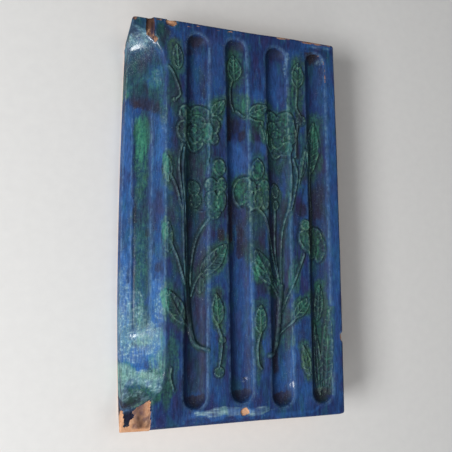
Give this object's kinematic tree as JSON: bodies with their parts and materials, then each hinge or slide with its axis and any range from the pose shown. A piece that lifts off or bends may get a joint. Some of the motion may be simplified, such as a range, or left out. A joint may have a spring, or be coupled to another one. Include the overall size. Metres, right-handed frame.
{
  "type": "corner stove tile",
  "caption": "Hollow-backed fluted corner tile for a tiled stove, with a scooped chamfer, plant relief and blue and green glaze.",
  "frame": {"origin": "centre of the bounding box at the rim of the hollow back, on the surface that the tile lies on", "axes": "+X across the face, away from the chamfered corner; +Y up the tile as it is built in; +Z out of the glazed face"},
  "size_m": [0.2069, 0.354, 0.0499],
  "materials": {
    "cobalt_glaze": "glossy lead glaze over terracotta"
  },
  "bodies": {
    "root": {"stove_tile": "cobalt_glaze"}
  },
  "joints": []
}
